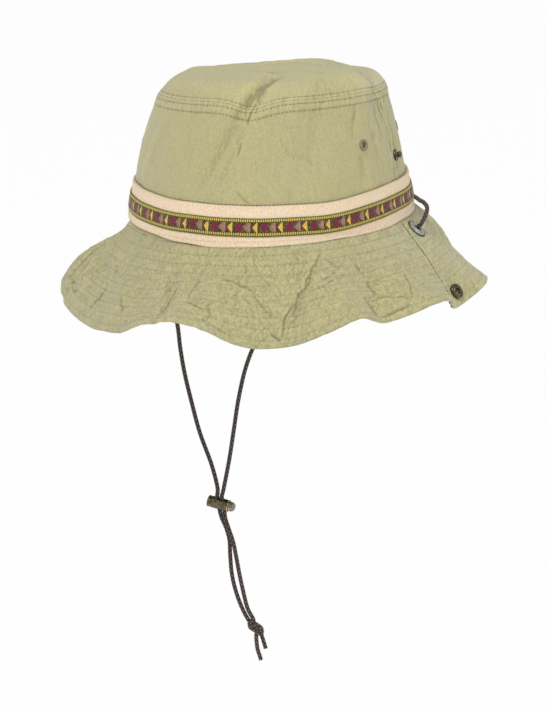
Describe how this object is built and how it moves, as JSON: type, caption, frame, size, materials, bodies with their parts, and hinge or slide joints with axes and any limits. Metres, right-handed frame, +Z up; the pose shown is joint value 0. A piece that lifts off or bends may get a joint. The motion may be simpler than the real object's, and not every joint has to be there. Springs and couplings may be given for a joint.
{
  "type": "safari bucket hat",
  "caption": "Soft cotton bucket hat with a wavy brim, a woven band, vent eyelets, side snaps and a hanging chin cord with a sprung lock.",
  "frame": {"origin": "centre of the head opening, level with the seam that joins the crown to the brim", "axes": "+Z up towards the crown's tip, -Y the front, +X the side that shows on the right seen from the front"},
  "size_m": [0.2643, 0.2978, 0.3789],
  "materials": {
    "sage_cotton": "matt woven cotton",
    "cream_webbing": "matt cotton webbing",
    "jacquard_ribbon": "soft woven ribbon with a geometric pattern",
    "eyelet_thread": "close satin stitch",
    "antique_brass": "dark antique",
    "gunmetal": "dark satin",
    "pale_steel": "pale satin",
    "brown_braid": "braided cord"
  },
  "bodies": {
    "hat": {"crown_tip": "sage_cotton", "crown_side_front": "sage_cotton", "crown_side_back": "sage_cotton", "brim_front": "sage_cotton", "brim_back": "sage_cotton", "band_webbing": "cream_webbing", "band_ribbon": "jacquard_ribbon", "vent_eyelet_front_left": "eyelet_thread", "vent_eyelet_front_right": "eyelet_thread", "vent_eyelet_back_left": "eyelet_thread", "vent_eyelet_back_right": "eyelet_thread", "snap_stud_left": "antique_brass", "snap_stud_right": "antique_brass", "snap_socket_left": "antique_brass", "snap_socket_right": "antique_brass", "brim_grommet_left": "pale_steel", "brim_grommet_right": "pale_steel", "chin_cord_back": "brown_braid", "chin_cord_left": "brown_braid", "chin_cord_right": "brown_braid", "cord_lock_barrel": "antique_brass", "cord_knot": "brown_braid", "cord_end_left": "brown_braid", "cord_end_right": "brown_braid"},
    "lock_button": {"cord_lock_button": "gunmetal"}
  },
  "joints": [
    {"name": "lock_button_press", "type": "slide", "parent": "hat", "child": "lock_button", "axis": [-0.9748, 0, 0.2233], "range_m": [0, 0.0022], "stiffness_N_per_m": 600, "springref_m": -0.003}
  ]
}
